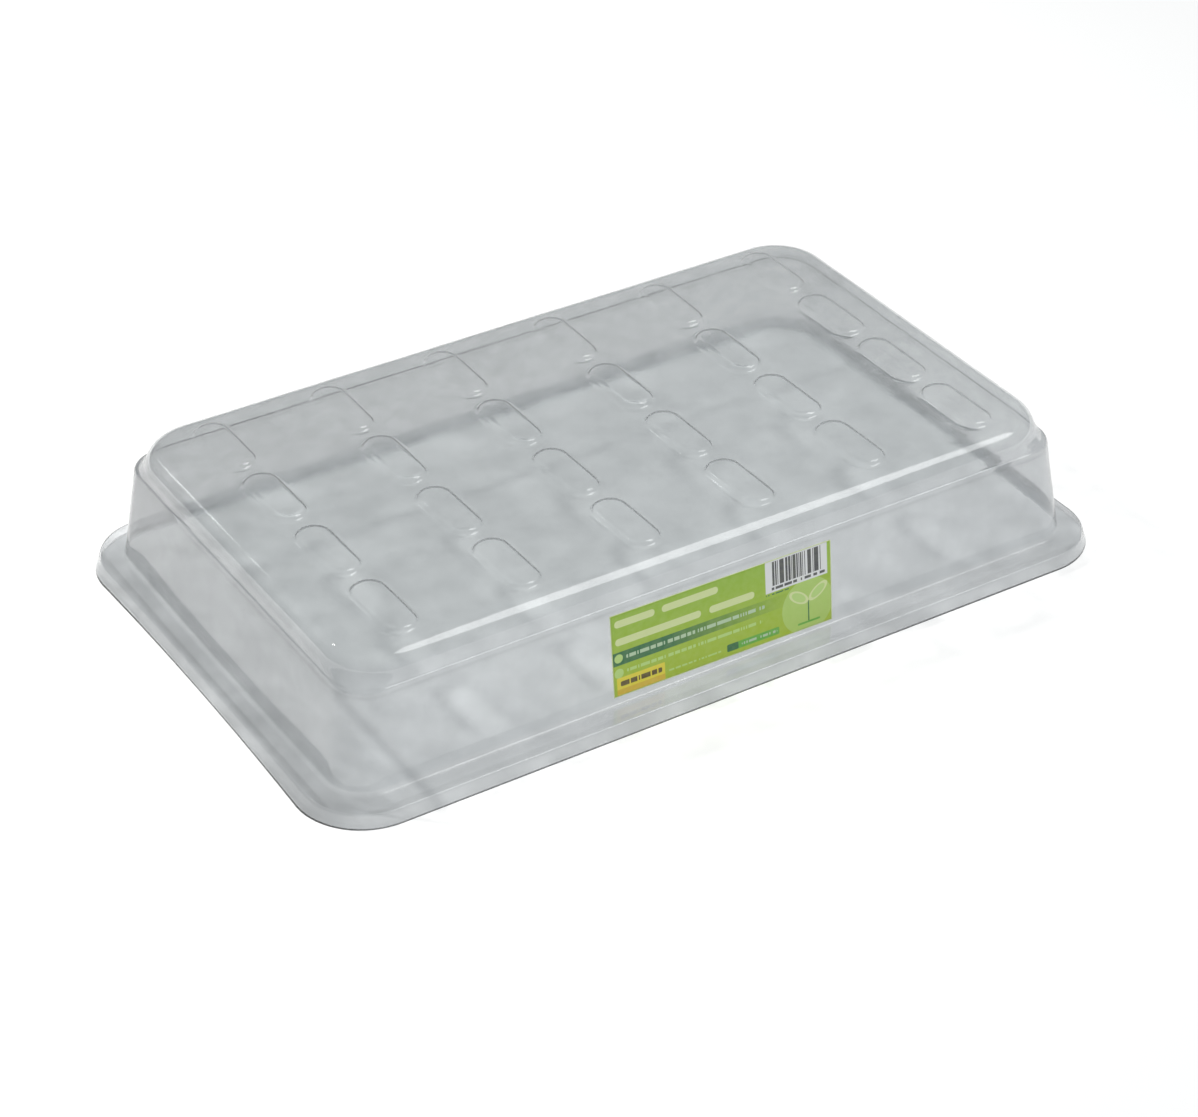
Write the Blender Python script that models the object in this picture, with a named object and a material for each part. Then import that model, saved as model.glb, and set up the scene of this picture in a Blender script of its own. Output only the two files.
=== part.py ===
import math

import bmesh
import bpy
from mathutils import Matrix, Vector

# Driving dimensions of the cover, in metres. X runs along the long side, Z is up,
# and the origin is at the middle of the foot that the cover stands on.
LENGTH = 0.378
WIDTH = 0.235
ROOF_HEIGHT = 0.0623
SHEET = 0.0005  # thickness of the clear sheet

# Rim: a skirt rises from the foot to a flat ledge, which rests on the edge of a seed tray
FOOT_RADIUS = 0.0298
FOOT_BOW = 0.0016  # how far the short sides of the foot pull in at their middle
LEDGE_HEIGHT = 0.0066
LEDGE_RADIUS = 0.0266
LEDGE_INSET_X = 0.0032  # from the foot in to the outer edge of the ledge
LEDGE_INSET_Y = 0.0011
LEDGE_ROUND = 0.0010

# Wall: from the inner edge of the ledge up to the crease under the roof
WALL_FOOT_X = 0.1759
WALL_FOOT_Y = 0.1046
WALL_FOOT_RADIUS = 0.0160
WALL_FOOT_BOW = -0.0009  # the wall's short sides stand out a little at their foot
WALL_FOOT_ROUND = 0.0010
WALL_TOP_X = 0.1699
WALL_TOP_Y = 0.0994
WALL_TOP_RADIUS = 0.0153
WALL_TOP_HEIGHT = 0.0497

# Shoulder: a small step inwards, then a large rounding over into the flat roof
STEP_IN = 0.0007
STEP_RISE = 0.0005
STEP_RADIUS = 0.0180
SHOULDER_ROUND = 0.0096
SHOULDER_ANGLES = (80, 60, 40, 20, 0)  # degrees that the surface leans from level
ROOF_FLAT_X = 0.1595
ROOF_FLAT_Y = 0.0890
ROOF_FLAT_RADIUS = 0.0160

# Raised oblong pads that stiffen the roof
PAD_COLUMNS = 6
PAD_ROWS = 4
PAD_PITCH_X = 0.0549
PAD_PITCH_Y = 0.0450
PAD_HEIGHT = 0.0024
PAD_FOOT_RADIUS = 0.0082
PAD_TOP_RADIUS = 0.0066
PAD_HALF_STRAIGHT = 0.0113
PAD_ROOT = 0.0004  # how far a pad's solid reaches into the roof's solid
PAD_SIDES = 16

# Printed label stuck on the front long wall
LABEL_WIDTH = 0.1055
LABEL_HEIGHT = 0.0368
LABEL_THICKNESS = 0.0002
LABEL_CENTRE_X = -0.0030
LABEL_CENTRE_UP = 0.0207  # along the wall, from the ledge
LABEL_TILT = math.radians(-0.75)
GAP = 0.0003  # between the label and the wall

CORNER_STEPS = 6
SIDE_STEPS = 4
CUT_DEPTH = 0.004  # how far the inside solid reaches below the foot


def remove_scene_objects():
    for thing in list(bpy.data.objects):
        bpy.data.objects.remove(thing)


def new_collection(name):
    collection = bpy.data.collections.new(name)
    bpy.context.scene.collection.children.link(collection)
    return collection


def make_material(name, colour, roughness, alpha=1.0):
    material = bpy.data.materials.new(name)
    material.use_nodes = True
    shader = material.node_tree.nodes["Principled BSDF"]
    shader.inputs["Base Color"].default_value = (*colour, 1.0)
    shader.inputs["Roughness"].default_value = roughness
    shader.inputs["Metallic"].default_value = 0.0
    shader.inputs["Alpha"].default_value = alpha
    return material


def mesh_object(name, bm, collection):
    bmesh.ops.recalc_face_normals(bm, faces=bm.faces)
    mesh = bpy.data.meshes.new(name)
    bm.to_mesh(mesh)
    bm.free()
    thing = bpy.data.objects.new(name, mesh)
    collection.objects.link(thing)
    return thing


def add_boolean(thing, operation, other):
    modifier = thing.modifiers.new(operation.lower() + "_" + other.name, "BOOLEAN")
    modifier.operation = operation
    modifier.solver = "EXACT"
    modifier.object = other


def as_cutter(thing):
    thing.hide_render = True
    thing.display_type = "WIRE"
    return thing


def outline(half_x, half_y, radius, height, bow=0.0):
    """Rounded rectangle at one height, anticlockwise, with its short sides bowed in."""
    points = []
    for quarter, (sign_x, sign_y) in enumerate(((1, 1), (-1, 1), (-1, -1), (1, -1))):
        centre = Vector((sign_x * (half_x - radius), sign_y * (half_y - radius), height))
        for step in range(CORNER_STEPS + 1):
            angle = (quarter + step / CORNER_STEPS) * math.pi / 2
            points.append(centre + radius * Vector((math.cos(angle), math.sin(angle), 0.0)))
        if sign_x != sign_y:
            for step in range(1, SIDE_STEPS):
                share = 1 - 2 * step / SIDE_STEPS  # 1 at one corner, 0 at the middle
                x = sign_x * (half_x - bow * (1 - share ** 2))
                points.append(Vector((x, centre.y * share, height)))
    return points


def rim_stations(skin):
    """Outlines of the skirt and the ledge, for the skin this far inside the outer one."""
    edge_x = LENGTH / 2 - LEDGE_INSET_X - skin
    edge_y = WIDTH / 2 - LEDGE_INSET_Y - skin
    top = LEDGE_HEIGHT - skin
    edge_round = LEDGE_ROUND - skin / 2
    root_round = WALL_FOOT_ROUND + skin / 2
    return [
        outline(LENGTH / 2 - skin, WIDTH / 2 - skin, FOOT_RADIUS - skin, 0.0, FOOT_BOW),
        outline(edge_x, edge_y, LEDGE_RADIUS - skin, top - edge_round),
        outline(edge_x - edge_round, edge_y - edge_round, LEDGE_RADIUS - skin - edge_round, top),
        outline(WALL_FOOT_X - skin + root_round, WALL_FOOT_Y - skin + root_round,
                WALL_FOOT_RADIUS - skin + root_round, top, WALL_FOOT_BOW),
        outline(WALL_FOOT_X - skin, WALL_FOOT_Y - skin, WALL_FOOT_RADIUS - skin,
                top + root_round, WALL_FOOT_BOW),
    ]


def roof_stations(skin):
    """Outlines of the wall's top, the step and the rounding over into the roof."""
    stations = [
        outline(WALL_TOP_X - skin, WALL_TOP_Y - skin, WALL_TOP_RADIUS - skin,
                WALL_TOP_HEIGHT - skin / 2),
        outline(WALL_TOP_X - STEP_IN - skin, WALL_TOP_Y - STEP_IN - skin, STEP_RADIUS - skin,
                WALL_TOP_HEIGHT + STEP_RISE - skin / 2),
    ]
    bend = SHOULDER_ROUND - skin
    for degrees in SHOULDER_ANGLES:
        lean = math.radians(degrees)
        out = bend * math.sin(lean)
        drop = SHOULDER_ROUND - bend * math.cos(lean)
        stations.append(outline(ROOF_FLAT_X + out, ROOF_FLAT_Y + out, ROOF_FLAT_RADIUS + out,
                                ROOF_HEIGHT - drop))
    return stations


def loft(stations):
    """One closed solid through a stack of outlines that have the same number of points."""
    bm = bmesh.new()
    top = bm.faces.new([bm.verts.new(point) for point in stations[0]])
    for station in stations[1:]:
        top = bmesh.ops.extrude_discrete_faces(bm, faces=[top])["faces"][0]
        for vert, point in zip(top.verts, station):
            vert.co = point
    bmesh.ops.holes_fill(bm, edges=bm.edges)
    return bm


def body_solid(name, skin, collection):
    stations = rim_stations(skin) + roof_stations(skin)
    if skin > 0:
        below = [Vector((point.x, point.y, -CUT_DEPTH)) for point in stations[0]]
        stations.insert(0, below)
    return mesh_object(name, loft(stations), collection)


def pad_centres():
    for row in range(PAD_ROWS):
        for column in range(PAD_COLUMNS):
            x = (column - (PAD_COLUMNS - 1) / 2) * PAD_PITCH_X
            y = (row - (PAD_ROWS - 1) / 2) * PAD_PITCH_Y
            yield Vector((x, y, 0.0))


def pad_solids(name, skin, collection):
    """All the pads: cones pulled apart along Y into oblongs, rooted in the roof."""
    bm = bmesh.new()
    inset = skin / 2
    slope = (PAD_FOOT_RADIUS - PAD_TOP_RADIUS) / PAD_HEIGHT
    height = PAD_HEIGHT + PAD_ROOT
    for centre in pad_centres():
        made = bmesh.ops.create_cone(
            bm, cap_ends=True, segments=PAD_SIDES, depth=height,
            radius1=PAD_FOOT_RADIUS - inset + PAD_ROOT * slope, radius2=PAD_TOP_RADIUS - inset,
            matrix=Matrix.Rotation(math.pi / PAD_SIDES, 4, "Z"))
        for vert in made["verts"]:
            vert.co.y += math.copysign(PAD_HALF_STRAIGHT, vert.co.y)
            vert.co += centre
            vert.co.z += ROOF_HEIGHT - skin - PAD_ROOT + height / 2
    return mesh_object(name, bm, collection)


def make_cover(parts, cutters):
    cover = body_solid("dome_cover", 0.0, parts)
    pads = as_cutter(pad_solids("pads_outside", 0.0, cutters))
    inside = as_cutter(body_solid("hollow_inside", SHEET, cutters))
    pad_hollows = as_cutter(pad_solids("pads_inside", SHEET, cutters))
    add_boolean(inside, "UNION", pad_hollows)
    add_boolean(cover, "UNION", pads)
    add_boolean(cover, "DIFFERENCE", inside)
    cover.data.materials.append(make_material("clear_sheet", (0.86, 0.89, 0.88), 0.06, 0.35))
    return cover


def make_label(parts):
    bpy.ops.mesh.primitive_cube_add(size=1.0)
    label = bpy.context.object
    label.name = "wall_label"
    label.data.name = "wall_label"
    for collection in list(label.users_collection):
        collection.objects.unlink(label)
    parts.objects.link(label)
    label.data.transform(Matrix.Diagonal((LABEL_WIDTH, LABEL_HEIGHT, LABEL_THICKNESS, 1.0)))
    wall_foot = Vector((0.0, -WALL_FOOT_Y, LEDGE_HEIGHT + WALL_FOOT_ROUND))
    up_wall = (Vector((0.0, -WALL_TOP_Y, WALL_TOP_HEIGHT)) - wall_foot).normalized()
    lean = math.atan2(up_wall.z, up_wall.y)
    turn = Matrix.Rotation(lean, 4, "X") @ Matrix.Rotation(LABEL_TILT, 4, "Z")
    outwards = turn.to_3x3() @ Vector((0.0, 0.0, 1.0))
    centre = wall_foot + up_wall * (LABEL_CENTRE_UP - WALL_FOOT_ROUND)
    centre += outwards * (GAP + LABEL_THICKNESS / 2)
    label.location = centre + Vector((LABEL_CENTRE_X, 0.0, 0.0))
    label.rotation_euler = turn.to_euler()
    label.data.materials.append(make_material("label_print", (0.45, 0.66, 0.10), 0.35))
    return label


def main():
    remove_scene_objects()
    parts = new_collection("humidity_dome")
    cutters = new_collection("humidity_dome_cutters")
    make_cover(parts, cutters)
    make_label(parts)


main()
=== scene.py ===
import math

import bmesh
import bpy
from mathutils import Matrix, Vector, noise


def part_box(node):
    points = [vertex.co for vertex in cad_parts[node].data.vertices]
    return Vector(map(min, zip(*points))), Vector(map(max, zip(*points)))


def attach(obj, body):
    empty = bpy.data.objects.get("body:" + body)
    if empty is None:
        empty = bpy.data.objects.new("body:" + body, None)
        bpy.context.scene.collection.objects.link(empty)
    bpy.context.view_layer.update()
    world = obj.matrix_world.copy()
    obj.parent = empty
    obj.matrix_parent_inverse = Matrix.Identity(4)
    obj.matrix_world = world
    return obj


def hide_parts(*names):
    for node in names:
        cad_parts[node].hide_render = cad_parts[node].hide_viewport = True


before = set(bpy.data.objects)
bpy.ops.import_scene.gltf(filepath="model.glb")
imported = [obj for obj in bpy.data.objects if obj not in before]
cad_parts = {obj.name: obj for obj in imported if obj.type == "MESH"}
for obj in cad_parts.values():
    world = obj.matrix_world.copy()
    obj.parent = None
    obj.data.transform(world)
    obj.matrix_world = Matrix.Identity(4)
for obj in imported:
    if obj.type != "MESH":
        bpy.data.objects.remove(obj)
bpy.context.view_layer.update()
print("frame loaded")

mm = 0.001
body = "root"


# ---- shared helpers: objects, materials, node wiring

def newPiece(name, bm, material, smooth=True):
    mesh = bpy.data.meshes.new(name)
    bm.to_mesh(mesh)
    bm.free()
    mesh.materials.append(material)
    if smooth:
        mesh.shade_smooth()
    piece = bpy.data.objects.new(name, mesh)
    bpy.context.scene.collection.objects.link(piece)
    return piece


def newMaterial(name):
    material = bpy.data.materials.new(name)
    material.use_nodes = True
    material.node_tree.nodes.clear()
    return material, material.node_tree.nodes, material.node_tree.links


def noiseField(nodes, links, place, scale, detail):
    field = nodes.new("ShaderNodeTexNoise")
    field.inputs["Scale"].default_value = scale
    field.inputs["Detail"].default_value = detail
    links.new(place, field.inputs["Vector"])
    return field.outputs["Fac"]


def spread(nodes, links, value, low, high, lowest=0.3, highest=0.7):
    band = nodes.new("ShaderNodeMapRange")
    for name, number in (("From Min", lowest), ("From Max", highest), ("To Min", low),
                         ("To Max", high)):
        band.inputs[name].default_value = number
    links.new(value, band.inputs["Value"])
    return band.outputs["Result"]


def twoNumbers(nodes, links, operation, first, second):
    maths = nodes.new("ShaderNodeMath")
    maths.operation = operation
    for socket, value in zip(maths.inputs, (first, second)):
        if isinstance(value, (int, float)):
            socket.default_value = value
        else:
            links.new(value, socket)
    return maths.outputs["Value"]


def colourMix(nodes, links, factor, first, second):
    mix = nodes.new("ShaderNodeMix")
    mix.data_type = "RGBA"
    links.new(factor, mix.inputs["Factor"])
    for socket, value in zip([put for put in mix.inputs if put.type == "RGBA"], (first, second)):
        if isinstance(value, tuple):
            socket.default_value = (*value, 1.0)
        else:
            links.new(value, socket)
    return [out for out in mix.outputs if out.type == "RGBA"][0]


# ---- camera

shot = {
    "azimuth": -32.16,      # degrees round from the front, to the left
    "elevation": 34.35,
    "distance": 1.316,
    "aim": (-0.0152, -0.0283, 0.0176),
    "lens": 95.1,
    "sensor": 36.0,
}


def addCamera(settings):
    azimuth = math.radians(settings["azimuth"])
    elevation = math.radians(settings["elevation"])
    back = Vector((math.sin(azimuth) * math.cos(elevation),
                   -math.cos(azimuth) * math.cos(elevation), math.sin(elevation)))
    data = bpy.data.cameras.new("camera")
    data.lens = settings["lens"]
    data.sensor_width = settings["sensor"]
    data.clip_start = 0.05
    camera = bpy.data.objects.new("camera", data)
    camera.location = Vector(settings["aim"]) + back * settings["distance"]
    camera.rotation_euler = back.to_track_quat("Z", "Y").to_euler()
    bpy.context.scene.collection.objects.link(camera)
    bpy.context.scene.camera = camera


addCamera(shot)
print("camera placed")


# ---- studio: floor, world and lamps

studio = {
    "floorSize": 80.0,
    "floorDrop": 0.05 * mm,
    "floorColour": (0.86, 0.86, 0.86),
    "floorRoughness": 0.9,
    "floorGlow": 0.62,      # keeps the far floor as pale as the near
    "glowFrom": 0.65, "glowTo": 1.7,
    "worldColour": (0.95, 0.98, 1.0),
    "worldStrength": 0.48,
}

# a lamp that gleams shows in the plastic; one that doesn't only lights the floor and label
lamps = {
    "rearLamp": {"place": (-0.86, 0.92, 1.30), "size": (0.11, 0.11), "power": 24.5,
                 "colour": (1.0, 0.99, 0.97), "gleams": False},
    "rearSpark": {"place": (-0.86, 0.92, 1.30), "size": (0.11, 0.11), "power": 4.5,
                  "colour": (1.0, 0.99, 0.97), "gleams": True},
    "frontSoftbox": {"place": (0.88, -0.66, 1.68), "size": (0.9, 1.15), "power": 11.5,
                     "colour": (1.0, 1.0, 1.0), "gleams": True},
    # barely lit, so that it darkens what the left shoulder mirrors
    "rearSoftbox": {"place": (-0.92, 1.26, 0.88), "size": (0.45, 0.8), "power": 0.11,
                    "colour": (1.0, 1.0, 1.0), "gleams": True},
}


def addFloor(settings):
    material, nodes, links = newMaterial("floorPaint")
    shader = nodes.new("ShaderNodeBsdfPrincipled")
    output = nodes.new("ShaderNodeOutputMaterial")
    shader.inputs["Base Color"].default_value = (*settings["floorColour"], 1.0)
    shader.inputs["Roughness"].default_value = settings["floorRoughness"]
    shader.inputs["Specular IOR Level"].default_value = 0.0
    shader.inputs["Emission Color"].default_value = (1.0, 1.0, 1.0, 1.0)
    away = nodes.new("ShaderNodeVectorMath")
    away.operation = "LENGTH"
    links.new(nodes.new("ShaderNodeTexCoord").outputs["Object"], away.inputs[0])
    links.new(spread(nodes, links, away.outputs["Value"], 0.0, settings["floorGlow"],
                     settings["glowFrom"], settings["glowTo"]), shader.inputs["Emission Strength"])
    links.new(shader.outputs["BSDF"], output.inputs["Surface"])
    bm = bmesh.new()
    bmesh.ops.create_grid(bm, x_segments=1, y_segments=1, size=settings["floorSize"] / 2)
    bmesh.ops.translate(bm, verts=bm.verts, vec=(0.0, 0.0, -settings["floorDrop"]))
    floor = newPiece("floor", bm, material, smooth=False)


def addWorld(settings):
    world = bpy.data.worlds.new("studioAir")
    world.use_nodes = True
    background = world.node_tree.nodes["Background"]
    background.inputs["Color"].default_value = (*settings["worldColour"], 1.0)
    background.inputs["Strength"].default_value = settings["worldStrength"]
    bpy.context.scene.world = world


def addLamp(name, settings):
    data = bpy.data.lights.new(name, "AREA")
    data.shape = "RECTANGLE"
    data.size, data.size_y = settings["size"]
    data.energy = settings["power"]
    data.color = settings["colour"]
    lamp = bpy.data.objects.new(name, data)
    lamp.visible_glossy = lamp.visible_transmission = settings["gleams"]
    lamp.location = settings["place"]
    lamp.rotation_euler = Vector(settings["place"]).to_track_quat("Z", "Y").to_euler()
    bpy.context.scene.collection.objects.link(lamp)


addFloor(studio)
addWorld(studio)
for lampName, lampSettings in lamps.items():
    addLamp(lampName, lampSettings)
bpy.context.scene.view_settings.view_transform = "Standard"
print("studio lit")


# ---- clear sheet: a thin see-through wall with an outer and an inner face

sheet = {
    # the plastic's own grey tint, with painted shade: roof, walls and ledge are set apart in tone
    "roofShadeAndTint": (0.727, 0.743, 0.745), "wallShadeAndTint": (0.646, 0.656, 0.664),
    "ledgeShadeAndTint": (0.826, 0.832, 0.838),
    "wallShadeAndTintFrom": 1 * mm, "wallShadeAndTintOver": 1.5 * mm,       # up from the ledge
    "roofShadeAndTintFrom": 55 * mm, "roofShadeAndTintOver": 5 * mm,
    # painted shade: the roof is drawn lighter towards the right and the front, the walls towards
    # the front
    "roofShadeTilt": (0.45, -0.60), "wallShadeTilt": (0.0, -0.80),    # share lighter per metre along X, Y
    # right, left, rear, front: shares of the wall's and ledge's tints, which paint shade from side
    # to side, and of the ledge's shade
    "wallSideShades": (1.00, 0.80, 1.05, 1.08),
    "ledgeSideShades": (1.00, 0.885, 1.14, 0.97),
    "shadeSides": (1.04, 0.84, 1.08, 0.96),
    "bendShade": 0.80,       # painted shade: the sheet is drawn darker beside each bend
    "ledgeEdgeShade": (2.4 * mm, 1.1 * mm),      # in from the ledge's edge, width
    "wallCreaseShade": (2.2 * mm, 1.0 * mm),       # down from the wall's top, width
    "wallCreaseShadeShare": 0.5,
    "dim": (0.592, 0.611, 0.620),       # share of the lamps' light that reaches what it covers
    "grazing": 5.0,         # how fast the sheet stops lamp light that strikes it at a slant
    "ior": 1.5,
    "smooth": 0.065, "scuffed": 0.125, "scuffScale": 55.0, "scuffDetail": 5.0,
    "scuffAt": (0.45, 0.75),
    "ripple": 0.06 * mm, "rippleScale": 34.0,
    "grain": 0.006 * mm, "grainScale": 620.0, "bumpDetail": 1.0,
    "cloudScale": 62.0, "cloudDetail": 4.0, "cloudDepth": 0.24,
    "hazeScale": 110.0, "hazeDetail": 6.0, "hazeDepth": 0.04,
    "speckScale": 34.0, "speckSize": 0.012, "speckAt": (0.55, 1.0),
    "speckColour": (0.30, 0.29, 0.27),
}


def lampPass(nodes, links, place, settings):
    # lamp light is dimmed on its way out of the cover, and made up for on its way in, so what
    # stands under the cover is shaded and what stands behind it isn't
    facing = nodes.new("ShaderNodeLayerWeight")
    facing.inputs["Blend"].default_value = 0.5
    grazing = twoNumbers(nodes, links, "POWER", facing.outputs["Facing"],
                         settings["grazing"])
    passed = twoNumbers(nodes, links, "SUBTRACT", 1.0, grazing)
    bend = nodes.new("ShaderNodeAttribute")
    bend.attribute_name = "lampBend"
    passed = twoNumbers(nodes, links, "MULTIPLY", passed, bend.outputs["Fac"])
    cloud = noiseField(nodes, links, place, settings["cloudScale"], settings["cloudDetail"])
    cloud = spread(nodes, links, cloud, 1 - settings["cloudDepth"], 1 + settings["cloudDepth"])
    passed = twoNumbers(nodes, links, "MULTIPLY", passed, cloud)
    leaving = nodes.new("ShaderNodeVectorMath")
    leaving.operation = "SCALE"
    leaving.inputs[0].default_value = settings["dim"]
    links.new(passed, leaving.inputs["Scale"])
    side = nodes.new("ShaderNodeNewGeometry")
    entering = tuple(1 / share for share in settings["dim"])
    return colourMix(nodes, links, side.outputs["Backfacing"], entering, leaving.outputs["Vector"])


def clearSheet(name, settings, outer):
    material, nodes, links = newMaterial(name)
    place = nodes.new("ShaderNodeTexCoord").outputs["Object"]
    plastic = nodes.new("ShaderNodeBsdfPrincipled")
    plastic.inputs["IOR"].default_value = settings["ior"]
    plastic.inputs["Transmission Weight"].default_value = 1.0

    scuff = noiseField(nodes, links, place, settings["scuffScale"], settings["scuffDetail"])
    scuff = spread(nodes, links, scuff, settings["smooth"], settings["scuffed"],
                   *settings["scuffAt"])
    links.new(scuff, plastic.inputs["Roughness"])

    # dust and small marks caught in the sheet
    dust = nodes.new("ShaderNodeTexVoronoi")
    dust.inputs["Scale"].default_value = settings["speckScale"]
    links.new(place, dust.inputs["Vector"])
    size = nodes.new("ShaderNodeSeparateColor")
    links.new(dust.outputs["Color"], size.inputs["Color"])
    reach = spread(nodes, links, size.outputs["Red"], 0.0, settings["speckSize"],
                   *settings["speckAt"])
    speck = twoNumbers(nodes, links, "LESS_THAN", dust.outputs["Distance"], reach)
    # the vertex colour holds the plastic's tint and painted shade
    tint = nodes.new("ShaderNodeAttribute")
    tint.attribute_name = "sheetShadeAndTint"
    haze = noiseField(nodes, links, place, settings["hazeScale"], settings["hazeDetail"])
    hazy = nodes.new("ShaderNodeVectorMath")
    hazy.operation = "SCALE"
    links.new(tint.outputs["Color"], hazy.inputs[0])
    links.new(spread(nodes, links, haze, 1 - settings["hazeDepth"], 1 + settings["hazeDepth"]),
              hazy.inputs["Scale"])
    tint = colourMix(nodes, links, speck, hazy.outputs["Vector"], settings["speckColour"])
    links.new(tint, plastic.inputs["Base Color"])

    # both faces follow the same ripples, so the wall keeps its thickness
    normal = None
    for depth, scale in ((settings["ripple"], settings["rippleScale"]),
                         (settings["grain"], settings["grainScale"])):
        bump = nodes.new("ShaderNodeBump")
        bump.invert = not outer
        bump.inputs["Distance"].default_value = depth
        height = noiseField(nodes, links, place, scale, settings["bumpDetail"])
        links.new(height, bump.inputs["Height"])
        if normal:
            links.new(normal, bump.inputs["Normal"])
        normal = bump.outputs["Normal"]
    links.new(normal, plastic.inputs["Normal"])

    through = nodes.new("ShaderNodeBsdfTransparent")
    if outer:
        links.new(lampPass(nodes, links, place, settings), through.inputs["Color"])
    ray = nodes.new("ShaderNodeLightPath")
    surface = plastic.outputs["BSDF"]
    for kind in ("Is Shadow Ray", "Is Diffuse Ray"):
        mix = nodes.new("ShaderNodeMixShader")
        links.new(ray.outputs[kind], mix.inputs[0])
        links.new(surface, mix.inputs[1])
        links.new(through.outputs["BSDF"], mix.inputs[2])
        surface = mix.outputs["Shader"]
    output = nodes.new("ShaderNodeOutputMaterial")
    links.new(surface, output.inputs["Surface"])
    return material


# ---- dome cover: rings lofted from the foot up to the roof, then a roof of pad cells

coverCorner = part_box("dome_cover")[1]

cover = {
    "halfX": coverCorner.x, "halfY": coverCorner.y,
    "thickness": 0.5 * mm,
    "footThin": 0.12, "footThinBelow": 1.0 * mm,    # the trimmed foot runs out to an edge
    "footRadius": 29.8 * mm, "footBow": 1.6 * mm,
    "ledgeHeight": 6.6 * mm, "ledgeRadius": 26.6 * mm,
    "ledgeInX": 3.2 * mm, "ledgeInY": 1.1 * mm,
    "wallFootX": 175.9 * mm, "wallFootY": 104.6 * mm, "wallFootRadius": 16.0 * mm,
    "wallFootBow": -0.9 * mm,
    "wallTopX": 169.9 * mm, "wallTopY": 99.4 * mm, "wallTopRadius": 15.3 * mm,
    "wallTop": 49.7 * mm,
    "stepIn": 0.8 * mm, "stepRise": 0.52 * mm, "stepRadius": 18.0 * mm,
    "roofX": 159.5 * mm, "roofY": 89.0 * mm, "roofRadius": 16.0 * mm,
    "roofHeight": 62.3 * mm, "roofSag": 1.5 * mm,
    "shoulderRound": 9.6 * mm, "shoulderSteps": 12, "shoulderLean": 80.0,
    "cornerSteps": 16, "longSteps": 40, "shortSteps": 24,
    "footLift": 0.10 * mm,
    # reach and steps of the small curve at each bend
    "ledgeCurve": (1.5 * mm, 6), "wallFootCurve": (1.9 * mm, 8), "creaseCurve": (1.1 * mm, 6),
    "curveMargin": 1.25,
    # rings between the bends, as shares of the way
    "skirtRings": (0.25, 0.55), "ledgeRings": (0.3, 0.42, 0.58), "stepRings": (0.35, 0.7),
    "wallRings": (0.12, 0.24, 0.36, 0.48, 0.6, 0.7, 0.76, 0.81, 0.85, 0.89, 0.92, 0.95),
    "waviness": 0.14 * mm, "waveScale": 26.0, "fineWaves": 0.4, "fineTimes": 3,
    "waveFrom": 10 * mm, "waveOver": 12 * mm,
    # lines that the crease throws: height from it and width in millimetres, change of light
    "creaseLines": ((-5.0, 2.2, 0.14), (0.2, 1.7, -0.48), (5.6, 2.4, 0.12)),
    "creaseFrontEnd": (-84 * mm, 8 * mm), "creaseRightEnd": (158 * mm, 12 * mm),
    "wallShadeFrom": 2 * mm,        # up from the ledge
    "sideBlend": 9 * mm,
    "hair": 0.01 * mm, "slack": 0.1 * mm,       # for telling which points lie on a face
}

lampFrom = Vector((-0.683, 0.730, 0.0))     # level direction towards the rear lamp

pads = {
    "columns": 6, "rows": 4, "pitchX": 54.9 * mm, "pitchY": 45.0 * mm,
    "height": 2.3 * mm, "footRadius": 8.2 * mm, "topRadius": 6.8 * mm,
    "halfStraight": 11.3 * mm, "points": 40,
    "clipX": 147.9 * mm, "clipY": 88.2 * mm,
    "rootCurve": 1.2 * mm, "rootMargin": 1.25,
    "crestCurve": 1.45 * mm, "crestMargins": (1.2, 2.0),
    "curveShares": (0.0, 0.2, 0.4, 0.6, 0.8, 1.0),
    "cellRings": (1.0, 0.6, 0.3, 0.12), "lastRing": 0.3 * mm,
    # light through a pad: its top, its walls on the lamp's side, its other walls
    "topLight": 1.22, "lampSideDark": 0.50, "farSideDark": 0.16,
    "topMargin": 0.7 * mm, "footMargin": 1.0 * mm,
}


def ringPoints(halfX, halfY, radius, height, bow, settings):
    # rounded rectangle, anticlockwise from the rear end of the right side
    points = []
    shortSteps, longSteps = settings["shortSteps"], settings["longSteps"]
    cornerSteps = settings["cornerSteps"]
    straightY, straightX = halfY - radius, halfX - radius
    for quarter, (signX, signY) in enumerate(((1, 1), (-1, 1), (-1, -1), (1, -1))):
        for step in range(cornerSteps):
            angle = (quarter + step / cornerSteps) * math.pi / 2
            points.append(Vector((signX * straightX + radius * math.cos(angle),
                                  signY * straightY + radius * math.sin(angle), height)))
        steps = shortSteps if signX != signY else longSteps
        for step in range(steps):
            share = 1 - 2 * step / steps
            if signX != signY:
                x = signX * (halfX - bow * (1 - share ** 2))
                points.append(Vector((x, signY * straightY * share, height)))
            else:
                points.append(Vector((signX * straightX * share, signY * halfY, height)))
    return points


def blended(first, second, share):
    return tuple(a + (b - a) * share for a, b in zip(first, second))


def roundedCorner(before, corner, after, curveSettings, margin):
    # a short curve in place of one corner of the profile
    reach, steps = curveSettings
    lengths = [math.dist(corner[:4], other[:4]) for other in (before, after)]
    start = blended(corner, before, min(0.5, reach / lengths[0]))
    end = blended(corner, after, min(0.5, reach / lengths[1]))
    curve = []
    for step in range(steps + 1):
        share = step / steps
        curve.append(blended(blended(start, corner, share), blended(corner, end, share), share))
    # a ring close on either side keeps the flats beside the curve flat
    if margin * reach < 0.5 * lengths[0]:
        curve.insert(0, blended(corner, before, margin * reach / lengths[0]))
    if margin * reach < 0.5 * lengths[1]:
        curve.append(blended(corner, after, margin * reach / lengths[1]))
    return curve


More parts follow.
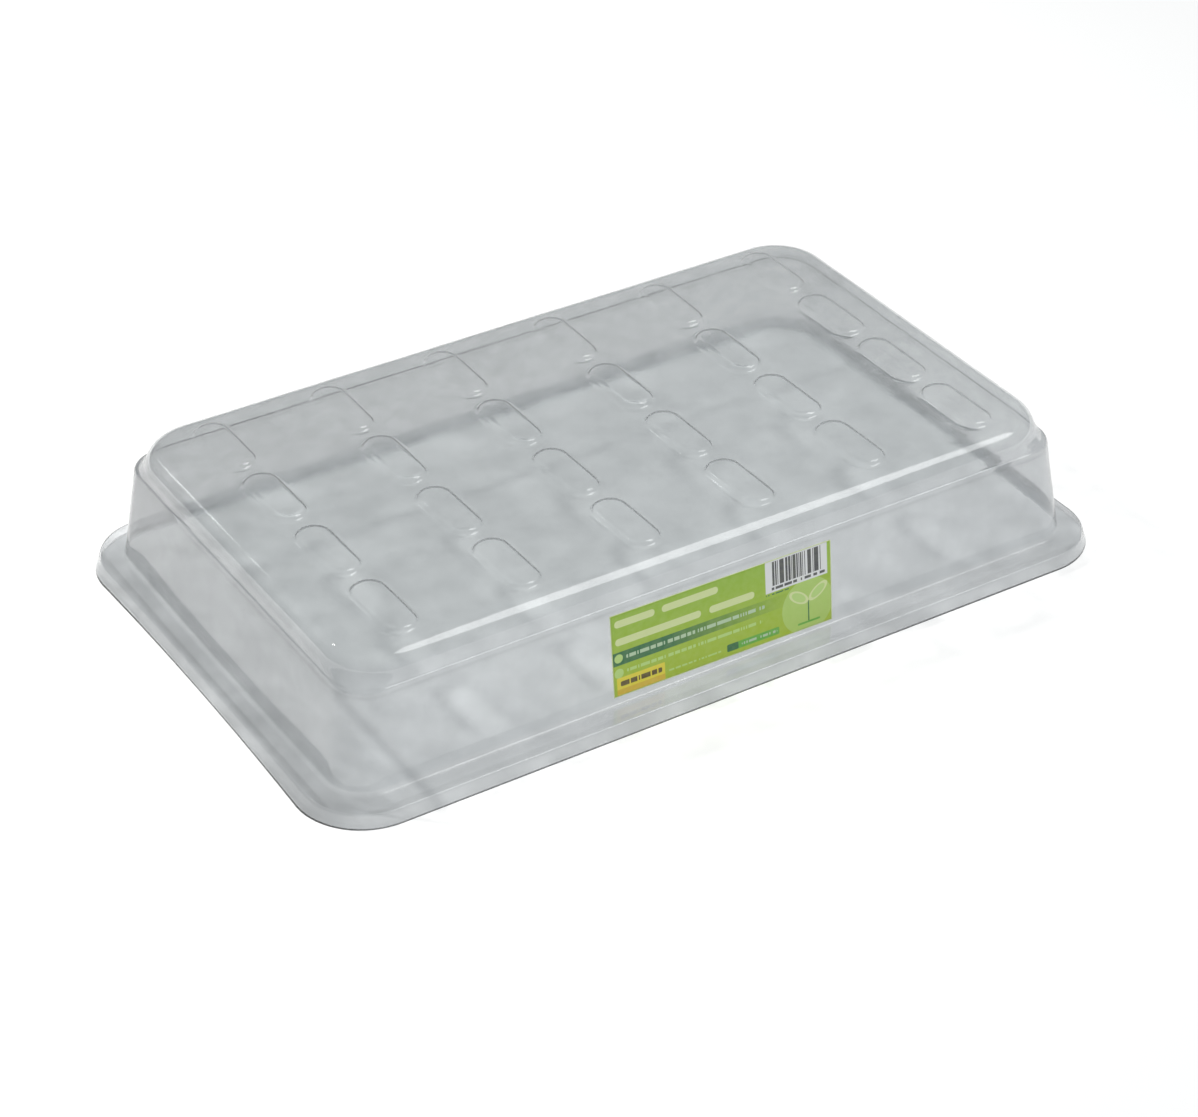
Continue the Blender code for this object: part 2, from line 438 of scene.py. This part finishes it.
def coverStations(c):
    # each station is halfX, halfY, radius, height, bow
    edgeX, edgeY = c["halfX"] - c["ledgeInX"], c["halfY"] - c["ledgeInY"]
    corners = [
        (c["halfX"], c["halfY"], c["footRadius"], c["footLift"], c["footBow"]),
        (edgeX, edgeY, c["ledgeRadius"], c["ledgeHeight"], 0.0),
        (c["wallFootX"], c["wallFootY"], c["wallFootRadius"], c["ledgeHeight"], c["wallFootBow"]),
        (c["wallTopX"], c["wallTopY"], c["wallTopRadius"], c["wallTop"], 0.0),
        (c["wallTopX"] - c["stepIn"], c["wallTopY"] - c["stepIn"], c["stepRadius"],
         c["wallTop"] + c["stepRise"], 0.0),
    ]
    shoulder = []
    for step in range(c["shoulderSteps"] + 1):
        lean = math.radians(c["shoulderLean"] * (1 - step / c["shoulderSteps"]))
        out = c["shoulderRound"] * math.sin(lean)
        drop = c["shoulderRound"] * (1 - math.cos(lean))
        shoulder.append((c["roofX"] + out, c["roofY"] + out, c["roofRadius"] + out,
                         c["roofHeight"] - drop, 0.0))
    corners.append(shoulder[0])
    runs = ("skirtRings", "ledgeRings", "wallRings", None, "stepRings")
    curves = ("ledgeCurve", "wallFootCurve", "creaseCurve", "creaseCurve")
    stations = [corners[0]]
    for index, rings in enumerate(runs):
        if rings:
            stations += [blended(corners[index], corners[index + 1], share) for share in c[rings]]
        if index < len(curves):
            stations += roundedCorner(*corners[index:index + 3], c[curves[index]],
                                      c["curveMargin"])
    return stations + shoulder


def loftCover(bm, settings):
    # the ring's one face is extruded from station to station, then taken out for the roof
    stations = coverStations(settings)
    first = ringPoints(*stations[0], settings)
    made = bmesh.ops.create_circle(bm, cap_ends=True, segments=len(first), radius=0.1)
    top = made["verts"][0].link_faces[0]
    for vert, point in zip(top.verts, first):
        vert.co = point
    for station in stations[1:]:
        top = bmesh.ops.extrude_discrete_faces(bm, faces=[top])["faces"][0]
        for vert, point in zip(top.verts, ringPoints(*station, settings)):
            vert.co = point
    rim = list(top.edges)
    bmesh.ops.delete(bm, geom=[top], context="FACES_ONLY")
    return rim


def padProfile(p):
    # radius and height from the pad's foot in to the middle of its top
    root, crest = p["rootCurve"], p["crestCurve"]
    rise = Vector((p["topRadius"] - p["footRadius"], p["height"])).normalized()
    foot, top = Vector((p["footRadius"], 0.0)), Vector((p["topRadius"], p["height"]))
    profile = [foot + Vector((p["rootMargin"] * root, 0.0))]
    for share in p["curveShares"]:
        start, end = foot + Vector((root, 0.0)), foot + rise * root
        profile.append(start.lerp(foot, share).lerp(foot.lerp(end, share), share))
    for share in p["curveShares"]:
        start, end = top - rise * crest, top - Vector((crest, 0.0))
        profile.append(start.lerp(top, share).lerp(top.lerp(end, share), share))
    for margin in p["crestMargins"]:
        profile.append(Vector((p["topRadius"] - margin * crest, p["height"])))
    profile.append(Vector((p["lastRing"], p["height"])))
    return profile


def oblongPoints(p, radius, height, outwards):
    # outwards 0 is the oblong itself, and 1 is the edge of the pad's rectangular cell
    points = []
    quarter = p["points"] // 4
    for index in range(p["points"]):
        angle = 2 * math.pi * index / p["points"]
        x, y = radius * math.cos(angle), radius * math.sin(angle)
        if index % (p["points"] // 2):
            y += math.copysign(p["halfStraight"], y)
        side, along = divmod(index + quarter // 2, quarter)
        share = 2 * along / quarter - 1
        edge = ((1, share), (-share, 1), (-1, -share), (share, -1))[side % 4]
        cell = Vector((edge[0] * p["pitchX"] / 2, edge[1] * p["pitchY"] / 2, height))
        points.append(Vector((x, y, height)).lerp(cell, outwards))
    return points


def addPadCell(bm, centre, p):
    profile = padProfile(p)
    rings = [oblongPoints(p, profile[0].x, 0.0, share) for share in p["cellRings"]]
    rings += [oblongPoints(p, radius, height, 0.0) for radius, height in profile]
    made = bmesh.ops.create_circle(bm, cap_ends=True, segments=p["points"], radius=0.01)
    top = made["verts"][0].link_faces[0]
    for index, ring in enumerate(rings):
        if index:
            top = bmesh.ops.extrude_discrete_faces(bm, faces=[top])["faces"][0]
        for vert, point in zip(top.verts, ring):
            vert.co = point + centre


def padCentres(p, height):
    for row in range(p["rows"]):
        for column in range(p["columns"]):
            yield Vector(((column - (p["columns"] - 1) / 2) * p["pitchX"],
                          (row - (p["rows"] - 1) / 2) * p["pitchY"], height))


def roofOfPads(p, height):
    bm = bmesh.new()
    for centre in padCentres(p, height):
        addPadCell(bm, centre, p)
    bmesh.ops.remove_doubles(bm, verts=bm.verts, dist=cover["hair"])
    for axis, clip in ((0, p["clipX"]), (1, p["clipY"])):
        for sign in (1, -1):
            normal = Vector((0.0, 0.0, 0.0))
            normal[axis] = sign
            bmesh.ops.bisect_plane(bm, geom=bm.verts[:] + bm.edges[:] + bm.faces[:],
                                   plane_co=normal * clip, plane_no=normal, clear_outer=True)
    mesh = bpy.data.meshes.new("padRoof")
    bm.to_mesh(mesh)
    bm.free()
    return mesh


def sagRoof(bm, c):
    for vert in bm.verts:
        if vert.co.z > c["roofHeight"] - c["hair"]:
            acrossX = max(0.0, 1 - (vert.co.x / c["roofX"]) ** 2)
            acrossY = max(0.0, 1 - (vert.co.y / c["roofY"]) ** 2)
            vert.co.z -= c["roofSag"] * acrossX * acrossY


def creaseBend(co, c):
    # the rear and left crease throw a dark line with a bright one on either side
    frontEnd, frontFade = c["creaseFrontEnd"]
    rightEnd, rightFade = c["creaseRightEnd"]
    reach = min(1.0, max(0.0, (co.y - frontEnd) / frontFade))
    reach *= min(1.0, max(0.0, (rightEnd - co.x) / rightFade))
    bend = 0.0
    for height, width, change in c["creaseLines"]:
        bend += change * math.exp(-((co.z - c["wallTop"] - height * mm) / (width * mm)) ** 2)
    return 1 + bend * reach


def bySide(co, c, values):
    # one value for each of right, left, rear and front, blended round the corners
    gaps = (c["halfX"] - co.x, c["halfX"] + co.x, c["halfY"] - co.y, c["halfY"] + co.y)
    weights = [math.exp(-gap / c["sideBlend"]) for gap in gaps]
    return sum(weight * value for weight, value in zip(weights, values)) / sum(weights)


def padBend(co, p):
    # a pad's walls on the lamp's side throw a dark arc, and its top a bright oblong
    if co.x > p["pitchX"] * 2 or co.y < -p["pitchY"]:
        return 1.0      # these would land beyond the rim
    x = (co.x / p["pitchX"] + p["columns"] / 2) % 1 - 0.5
    y = (co.y / p["pitchY"] + p["rows"] / 2) % 1 - 0.5
    away = Vector((x * p["pitchX"], y * p["pitchY"], 0.0))
    away.y -= max(-p["halfStraight"], min(p["halfStraight"], away.y))
    beyond = max(abs(co.x) - p["clipX"], abs(co.y) - p["clipY"]) > 0
    if beyond or away.length > p["footRadius"] + p["footMargin"]:
        return 1.0
    if away.length < p["topRadius"] - p["topMargin"]:
        return p["topLight"]
    side = away.normalized().dot(lampFrom)
    return 1 - p["lampSideDark"] * max(0.0, side) - p["farSideDark"] * max(0.0, -side)


def shadeAndTintAt(co, c):
    # the plastic's tint with painted shade: walls drawn darkest to look through, each side, slope
    # and bend shaded apart
    onWall = (co.z - c["ledgeHeight"] - sheet["wallShadeAndTintFrom"]) / sheet["wallShadeAndTintOver"]
    onRoof = (co.z - sheet["roofShadeAndTintFrom"]) / sheet["roofShadeAndTintOver"]
    onWall, onRoof = (min(1.0, max(0.0, share)) for share in (onWall, onRoof))
    ledge = Vector(sheet["ledgeShadeAndTint"]) * bySide(co, c, sheet["ledgeSideShades"])
    wall = Vector(sheet["wallShadeAndTint"]) * bySide(co, c, sheet["wallSideShades"])
    wall *= 1 + Vector(sheet["wallShadeTilt"]).dot(co.xy)
    edge = min(c["halfX"] - c["ledgeInX"] - abs(co.x), c["halfY"] - c["ledgeInY"] - abs(co.y))
    # painted shade: a darker band in from the ledge's edge and another just below the crease
    darker = 1 - sheet["bendShade"]
    if co.z > c["ledgeHeight"] - c["slack"]:
        middle, width = sheet["ledgeEdgeShade"]
        ledge *= 1 - darker * math.exp(-((edge - middle) / width) ** 2)
    middle, width = sheet["wallCreaseShade"]
    darker *= sheet["wallCreaseShadeShare"]
    wall *= 1 - darker * math.exp(-((co.z - c["wallTop"] + middle) / width) ** 2)
    roof = Vector(sheet["roofShadeAndTint"]) * (1 + Vector(sheet["roofShadeTilt"]).dot(co.xy))
    return (*ledge.lerp(wall, onWall).lerp(roof, onRoof), 1.0)


def addSheetShades(bm, c, p):
    bend = bm.verts.layers.float.new("lampBend")
    tint = bm.verts.layers.float_color.new("sheetShadeAndTint")
    for vert in bm.verts:
        vert[tint] = shadeAndTintAt(vert.co, c)
        if vert.co.z > c["roofHeight"] - c["roofSag"] - c["slack"]:
            vert[bend] = padBend(vert.co, p)
        elif vert.co.z > c["ledgeHeight"] + c["wallShadeFrom"]:
            vert[bend] = creaseBend(vert.co, c)
        else:
            vert[bend] = bySide(vert.co, c, sheet["shadeSides"])


def waveAt(co, c):
    share = min(1.0, max(0.0, (co.z - c["waveFrom"]) / c["waveOver"]))
    coarse, fine = (noise.noise(co * c["waveScale"] * times) for times in (1, c["fineTimes"]))
    return (coarse + c["fineWaves"] * fine) * c["waviness"] * share


def addWaves(bm, c):
    bm.normal_update()
    for vert in bm.verts:
        vert.co += vert.normal * waveAt(vert.co, c)


def makeCover(c, p):
    bm = bmesh.new()
    rim = loftCover(bm, c)
    padMesh = roofOfPads(p, c["roofHeight"])
    before = set(bm.edges)
    bm.from_mesh(padMesh)
    bpy.data.meshes.remove(padMesh)
    inner = [edge for edge in bm.edges if edge not in before and edge.is_boundary]
    bmesh.ops.triangle_fill(bm, use_beauty=True, edges=rim + inner, normal=(0.0, 0.0, 1.0))
    bmesh.ops.recalc_face_normals(bm, faces=bm.faces)
    sagRoof(bm, c)
    addSheetShades(bm, c, p)
    addWaves(bm, c)
    piece = newPiece("domeCover", bm, clearSheet("clearSheet", sheet, True))
    piece.data.materials.append(clearSheet("clearSheetInside", sheet, False))
    wall = piece.modifiers.new("sheetThickness", "SOLIDIFY")
    wall.thickness = c["thickness"]
    wall.offset = -1.0
    wall.use_even_offset = True
    wall.material_offset = 1
    full = piece.vertex_groups.new(name="fullThickness")
    above = [vert.index for vert in piece.data.vertices if vert.co.z > c["footThinBelow"]]
    full.add(above, 1.0, "REPLACE")
    wall.vertex_group = "fullThickness"
    wall.thickness_vertex_group = c["footThin"]
    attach(piece, body)
    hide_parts("dome_cover")
    return piece


domeCover = makeCover(cover, pads)
print("cover formed:", len(domeCover.data.polygons), "faces")


# ---- printed label on the front wall: colour blocks, plain bars and a seedling, no words

label = {
    "width": 105.5, "height": 36.8,     # millimetres, and so are all places on the print
    "thickness": 0.12 * mm, "inward": 0.25 * mm,
    "tilt": math.radians(-0.75),
    "columns": 84, "rows": 30,
    "soft": 0.14,           # blur of the printed edges
    "border": 0.35, "borderCorner": 0.3, "badgeShare": 0.62, "leafInside": 0.72,
    "stripeStep": 0.36, "stripeLeast": 0.42, "dashStep": 0.62, "dashLeast": 0.22,
    "mottleScale": 0.35, "mottleDetail": 4.0, "mottle": 0.10,
    "dullScale": 0.12, "dullDetail": 3.0, "satin": 0.32, "dull": 0.48,
    "toothScale": 1.8, "toothDetail": 2.0, "tooth": 0.01 * mm,
    "backFibreScale": 900.0, "backFibreDetail": 4.0, "backRoughness": 0.6,
    "backDark": (0.62, 0.66, 0.58), "backPale": (0.74, 0.77, 0.70),
    "paints": {
        "limeTop": (0.262, 0.440, 0.036), "limeFoot": (0.350, 0.485, 0.026),
        "pale": (0.600, 0.680, 0.330), "haze": (0.420, 0.560, 0.380),
        "deepGreen": (0.020, 0.140, 0.050), "leafGreen": (0.110, 0.390, 0.045),
        "yellow": (0.700, 0.600, 0.035), "amber": (0.620, 0.430, 0.030),
        "brown": (0.090, 0.060, 0.010), "mist": (0.430, 0.620, 0.190),
        "ink": (0.060, 0.060, 0.075), "paper": (0.700, 0.710, 0.730),
    },
    # left, top, right, bottom, corner, paint
    "blocks": [
        (1.9, 3.0, 20.6, 6.2, 1.5, "pale"), (24.0, 3.0, 50.6, 6.2, 1.5, "pale"),
        (1.9, 11.0, 42.2, 14.2, 1.5, "pale"), (46.2, 11.0, 67.8, 14.2, 1.5, "pale"),
        (1.1, 17.9, 5.0, 21.8, 1.9, "mist"), (0.8, 24.4, 5.0, 28.6, 2.0, "mist"),
        (1.7, 28.6, 24.2, 36.3, 0.3, "yellow"), (1.7, 33.8, 24.2, 36.3, 0.3, "amber"),
        (53.9, 31.3, 79.4, 34.6, 0.6, "leafGreen"), (53.9, 31.3, 59.4, 34.6, 0.6, "deepGreen"),
        (88.6, 33.4, 99.6, 34.3, 0.4, "leafGreen"),
        (73.3, 0.3, 103.6, 14.6, 0.2, "paper"),
    ],
    # the same, for bars broken into short dashes
    "dashes": [
        (6.6, 19.1, 72.6, 20.7, 0.5, "haze"), (6.6, 25.5, 71.4, 26.9, 0.5, "mist"),
        (3.4, 30.4, 22.8, 32.6, 0.6, "brown"), (26.0, 32.7, 51.0, 33.5, 0.4, "mist"),
        (61.0, 32.4, 78.4, 33.5, 0.5, "haze"), (73.4, 15.2, 84.6, 15.8, 0.2, "deepGreen"),
        (75.4, 12.5, 102.4, 13.7, 0.4, "ink"),
    ],
    "bandFade": (26.0, 86.0), "band": (0.4, 17.0, 86.0, 23.0, 0.2),
    "stripes": (76.4, 0.9, 101.0, 11.8, 0.1),
    "badge": (93.6, 26.2, 12.6),
    # a seedling: leaf middle, turn in degrees, half length, half width, outline paint
    "leaves": [
        (89.3, 21.4, 34.0, 5.4, 2.5, "pale"), (98.8, 21.0, -34.0, 5.4, 2.5, "pale"),
    ],
    "stem": (93.7, 24.0, 94.3, 33.6, 0.3),
}


def softBlockGroup():
    # a soft-edged block with rounded corners, 1 inside and 0 outside
    group = bpy.data.node_groups.new("softBlock", "ShaderNodeTree")
    for name, kind in (("Place", "NodeSocketVector"), ("Middle", "NodeSocketVector"),
                       ("Core", "NodeSocketVector"), ("Corner", "NodeSocketFloat"),
                       ("Soft", "NodeSocketFloat")):
        group.interface.new_socket(name, in_out="INPUT", socket_type=kind)
    group.interface.new_socket("Mask", in_out="OUTPUT", socket_type="NodeSocketFloat")
    nodes, links = group.nodes, group.links
    given, result = nodes.new("NodeGroupInput"), nodes.new("NodeGroupOutput")
    value = given.outputs["Place"]
    for operation, other in (("SUBTRACT", given.outputs["Middle"]), ("MULTIPLY", (1, 1, 0)),
                             ("ABSOLUTE", None), ("SUBTRACT", given.outputs["Core"]),
                             ("MAXIMUM", (0, 0, 0)), ("LENGTH", None)):
        step = nodes.new("ShaderNodeVectorMath")
        step.operation = operation
        links.new(value, step.inputs[0])
        if isinstance(other, tuple):
            step.inputs[1].default_value = other
        elif other:
            links.new(other, step.inputs[1])
        value = step.outputs["Value" if operation == "LENGTH" else "Vector"]
    depth = twoNumbers(nodes, links, "SUBTRACT", given.outputs["Corner"], value)
    depth = twoNumbers(nodes, links, "DIVIDE", depth, given.outputs["Soft"])
    mask = nodes.new("ShaderNodeMath")
    mask.operation = "ADD"
    mask.use_clamp = True
    mask.inputs[1].default_value = 0.5
    links.new(depth, mask.inputs[0])
    links.new(mask.outputs["Value"], result.inputs["Mask"])
    return group


def softBlock(nodes, links, group, place, block, soft):
    left, top, right, bottom, corner = block[:5]
    mask = nodes.new("ShaderNodeGroup")
    mask.node_tree = group
    links.new(place, mask.inputs["Place"])
    mask.inputs["Middle"].default_value = ((left + right) / 2, (top + bottom) / 2, 0.0)
    mask.inputs["Core"].default_value = ((right - left) / 2 - corner,
                                         (bottom - top) / 2 - corner, 0.0)
    mask.inputs["Corner"].default_value = corner
    mask.inputs["Soft"].default_value = soft
    return mask.outputs["Mask"]


def randomSteps(nodes, links, along, width, least):
    # 1 or 0 for each step along the label, at random
    cell = twoNumbers(nodes, links, "FLOOR", twoNumbers(nodes, links, "DIVIDE", along, width), 0.0)
    draw = nodes.new("ShaderNodeTexWhiteNoise")
    draw.noise_dimensions = "1D"
    links.new(cell, draw.inputs["W"])
    return twoNumbers(nodes, links, "GREATER_THAN", draw.outputs["Value"], least)


def labelFrame(settings, c):
    rise = math.atan2(c["wallTop"] - c["ledgeHeight"], c["wallFootY"] - c["wallTopY"])
    first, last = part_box("wall_label")
    return (Matrix.Translation((first + last) / 2) @ Matrix.Rotation(rise, 4, "X")
            @ Matrix.Rotation(settings["tilt"], 4, "Z"))


def labelPrint(settings, frameAt):
    material, nodes, links = newMaterial("labelPrint")
    paints, soft = settings["paints"], settings["soft"]
    corner = frameAt @ Vector((-settings["width"] * mm / 2, settings["height"] * mm / 2, 0.0))
    source = nodes.new("ShaderNodeTexCoord").outputs["Object"]
    grid = nodes.new("ShaderNodeMapping")       # millimetres from the label's top left corner
    grid.vector_type = "TEXTURE"
    grid.inputs["Location"].default_value = corner
    grid.inputs["Rotation"].default_value = frameAt.to_euler()
    grid.inputs["Scale"].default_value = (mm, -mm, mm)
    links.new(source, grid.inputs["Vector"])
    place = grid.outputs["Vector"]
    parts = nodes.new("ShaderNodeSeparateXYZ")
    links.new(place, parts.inputs["Vector"])
    along, down = parts.outputs["X"], parts.outputs["Y"]
    group = softBlockGroup()

    colour = colourMix(nodes, links, spread(nodes, links, down, 0.0, 1.0, 0.0, settings["height"]),
                       paints["limeTop"], paints["limeFoot"])
    fade = spread(nodes, links, along, 1.0, 0.0, *settings["bandFade"])
    band = softBlock(nodes, links, group, place, settings["band"], soft)
    colour = colourMix(nodes, links, twoNumbers(nodes, links, "MULTIPLY", band, fade), colour,
                       paints["deepGreen"])
    x, y, radius = settings["badge"]
    badge = softBlock(nodes, links, group, place, (x - radius, y - radius, x + radius, y + radius,
                                                   radius), soft)
    badge = twoNumbers(nodes, links, "MULTIPLY", badge, settings["badgeShare"])
    colour = colourMix(nodes, links, badge, colour, paints["mist"])
    stem = softBlock(nodes, links, group, place, settings["stem"], soft)
    colour = colourMix(nodes, links, stem, colour, paints["deepGreen"])
    for x, y, turn, halfLength, halfWidth, paint in settings["leaves"]:
        leaf = nodes.new("ShaderNodeMapping")
        leaf.vector_type = "TEXTURE"
        leaf.inputs["Location"].default_value = (x, y, 0.0)
        leaf.inputs["Rotation"].default_value = (0.0, 0.0, math.radians(turn))
        leaf.inputs["Scale"].default_value = (halfLength, halfWidth, 1.0)
        links.new(place, leaf.inputs["Vector"])
        for size, fill in ((1.0, paints[paint]), (settings["leafInside"], paints["mist"])):
            mask = softBlock(nodes, links, group, leaf.outputs["Vector"],
                             (-size, -size, size, size, size), soft / halfWidth)
            colour = colourMix(nodes, links, mask, colour, fill)
    for block in settings["blocks"]:
        mask = softBlock(nodes, links, group, place, block, soft)
        colour = colourMix(nodes, links, mask, colour, paints[block[5]])
    stripes = softBlock(nodes, links, group, place, settings["stripes"], soft)
    stripes = twoNumbers(nodes, links, "MULTIPLY", stripes,
                         randomSteps(nodes, links, along, settings["stripeStep"],
                                     settings["stripeLeast"]))
    colour = colourMix(nodes, links, stripes, colour, paints["ink"])
    dashes = randomSteps(nodes, links, along, settings["dashStep"], settings["dashLeast"])
    for block in settings["dashes"]:
        mask = softBlock(nodes, links, group, place, block, soft)
        mask = twoNumbers(nodes, links, "MULTIPLY", mask, dashes)
        colour = colourMix(nodes, links, mask, colour, paints[block[5]])
    border, borderCorner = settings["border"], settings["borderCorner"]
    inside = softBlock(nodes, links, group, place, (
        border, borderCorner, settings["width"] - border, settings["height"] - borderCorner,
        borderCorner), soft)
    edge = twoNumbers(nodes, links, "SUBTRACT", 1.0, inside)
    colour = colourMix(nodes, links, edge, colour, paints["pale"])

    # printed paper: slight mottle, satin with duller patches, a fine tooth
    mottle = noiseField(nodes, links, place, settings["mottleScale"], settings["mottleDetail"])
    mottle = spread(nodes, links, mottle, 0.0, settings["mottle"])
    colour = colourMix(nodes, links, mottle, colour, paints["pale"])
    shader = nodes.new("ShaderNodeBsdfPrincipled")
    links.new(colour, shader.inputs["Base Color"])
    dull = noiseField(nodes, links, place, settings["dullScale"], settings["dullDetail"])
    links.new(spread(nodes, links, dull, settings["satin"], settings["dull"]),
              shader.inputs["Roughness"])
    tooth = nodes.new("ShaderNodeBump")
    tooth.inputs["Distance"].default_value = settings["tooth"]
    height = noiseField(nodes, links, place, settings["toothScale"], settings["toothDetail"])
    links.new(height, tooth.inputs["Height"])
    links.new(tooth.outputs["Normal"], shader.inputs["Normal"])
    output = nodes.new("ShaderNodeOutputMaterial")
    links.new(shader.outputs["BSDF"], output.inputs["Surface"])
    return material


def labelBacking(settings):
    # the plain underside, seen through the clear wall
    material, nodes, links = newMaterial("labelBacking")
    place = nodes.new("ShaderNodeTexCoord").outputs["Object"]
    fibre = noiseField(nodes, links, place, settings["backFibreScale"],
                       settings["backFibreDetail"])
    colour = colourMix(nodes, links, spread(nodes, links, fibre, 0.0, 1.0),
                       settings["backDark"], settings["backPale"])
    shader = nodes.new("ShaderNodeBsdfPrincipled")
    shader.inputs["Roughness"].default_value = settings["backRoughness"]
    links.new(colour, shader.inputs["Base Color"])
    output = nodes.new("ShaderNodeOutputMaterial")
    links.new(shader.outputs["BSDF"], output.inputs["Surface"])
    return material


def makeLabel(settings, c):
    frameAt = labelFrame(settings, c)
    size = Matrix.Diagonal((settings["width"] * mm, settings["height"] * mm, 1.0, 1.0))
    bm = bmesh.new()
    bmesh.ops.create_grid(bm, x_segments=settings["columns"], y_segments=settings["rows"],
                          size=0.5, matrix=frameAt @ size)
    outwards = frameAt.to_3x3() @ Vector((0.0, 0.0, 1.0))
    for vert in bm.verts:
        vert.co += outwards * (waveAt(vert.co, c) - settings["inward"])
    piece = newPiece("wallLabel", bm, labelPrint(settings, frameAt))
    piece.data.materials.append(labelBacking(settings))
    paper = piece.modifiers.new("paperThickness", "SOLIDIFY")
    paper.thickness = settings["thickness"]
    paper.offset = 0.0
    paper.material_offset = 1
    piece.visible_shadow = False        # else it shades the floor in front of the cover
    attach(piece, body)
    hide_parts("wall_label")
    return piece


makeLabel(label, cover)
print("label printed")
